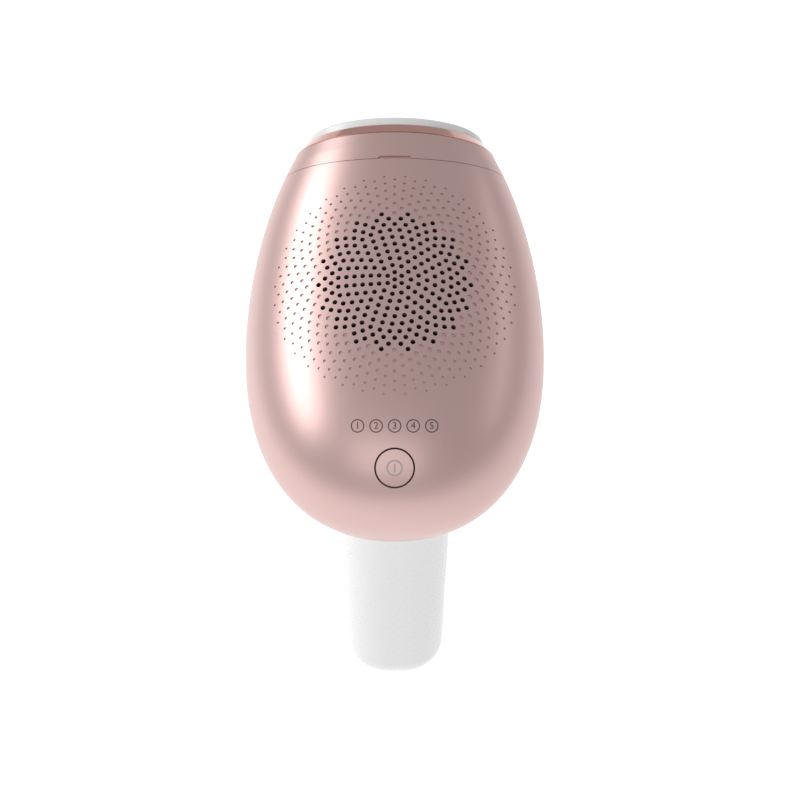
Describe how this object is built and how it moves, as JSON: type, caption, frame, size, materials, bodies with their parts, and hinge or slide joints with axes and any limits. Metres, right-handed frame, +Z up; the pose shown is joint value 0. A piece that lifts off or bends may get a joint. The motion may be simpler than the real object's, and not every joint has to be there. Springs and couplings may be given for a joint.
{
  "type": "ipl hair remover",
  "caption": "Handheld light-based hair remover with an egg-shaped vented head, a straight grip, a flash trigger and a pull-off window attachment.",
  "frame": {"origin": "centre of the grip's end face, at the mouth of the power inlet", "axes": "+Z up the grip, +Y towards the light window, X across; the vented cover faces -Y and up"},
  "size_m": [0.0864, 0.123, 0.1608],
  "materials": {
    "pink_shell": "satin metallic rose paint",
    "rose_mirror": "mirror-bright rose metal",
    "white_shell": "satin gloss white",
    "window_metal": "polished",
    "contact_metal": "satin",
    "dark_plastic": "matte",
    "seal_rubber": "matte",
    "grey_plastic": "matte",
    "clear_glass": "clear, warm tint",
    "lens": "smoked",
    "light_guide": "translucent",
    "circuit_board": "solder mask",
    "ferrite": "matte",
    "copper_coil": "enamelled",
    "capacitor_sleeve": "heat-shrink sleeve",
    "wire": "insulation"
  },
  "bodies": {
    "body": {"air_duct": "dark_plastic", "back_cover": "pink_shell", "board_screws": "contact_metal", "button_seal": "seal_rubber", "capacitor_cradle": "grey_plastic", "control_board": "circuit_board", "dc_pin": "contact_metal", "dc_socket": "dark_plastic", "fan_frame": "dark_plastic", "fan_screws": "contact_metal", "filter_glass": "clear_glass", "flash_capacitor": "capacitor_sleeve", "flash_lamp": "clear_glass", "front_housing": "white_shell", "lamp_clips": "contact_metal", "lamp_electrodes": "contact_metal", "lamp_housing": "dark_plastic", "light_guides": "light_guide", "main_board": "circuit_board", "mouth_frame": "dark_plastic", "power_switch": "dark_plastic", "power_transistors": "dark_plastic", "ready_light_lens": "lens", "rear_housing": "white_shell", "reflector": "window_metal", "socket_leads": "wire", "status_leds": "light_guide", "switch_bracket": "dark_plastic", "top_strip": "pink_shell", "transformer_coil": "copper_coil", "transformer_core": "ferrite", "trigger_coil": "copper_coil", "trigger_switch": "dark_plastic", "trim_ring": "rose_mirror", "vent_grille": "pink_shell"},
    "attachment": {"attachment_body": "white_shell", "window_frame": "window_metal"},
    "contact": {"contact_ring": "contact_metal"},
    "power_key": {"power_button": "pink_shell", "switch_plunger": "grey_plastic"},
    "trigger_key": {"flash_trigger": "white_shell", "trigger_plunger": "grey_plastic"},
    "fan": {"fan_rotor": "dark_plastic"}
  },
  "joints": [
    {"name": "attachment_pull", "type": "slide", "parent": "body", "child": "attachment", "axis": [0, 0.9205, 0.3907], "range_m": [0, 0.02]},
    {"name": "contact_press", "type": "slide", "parent": "attachment", "child": "contact", "axis": [0, -0.9205, -0.3907], "range_m": [0, 0.0008], "stiffness_N_per_m": 800, "springref_m": -0.001},
    {"name": "power_press", "type": "slide", "parent": "body", "child": "power_key", "axis": [0, 0.7071, -0.7071], "range_m": [0, 0.0005], "stiffness_N_per_m": 900, "springref_m": -0.001},
    {"name": "trigger_press", "type": "slide", "parent": "body", "child": "trigger_key", "axis": [0, -1, 0], "range_m": [0, 0.0015], "stiffness_N_per_m": 500, "springref_m": -0.002},
    {"name": "fan_spin", "type": "hinge", "parent": "body", "child": "fan", "pos_m": [0, 0.01254, 0.13248], "axis": [0, -0.3907, 0.9205], "continuous": true}
  ]
}
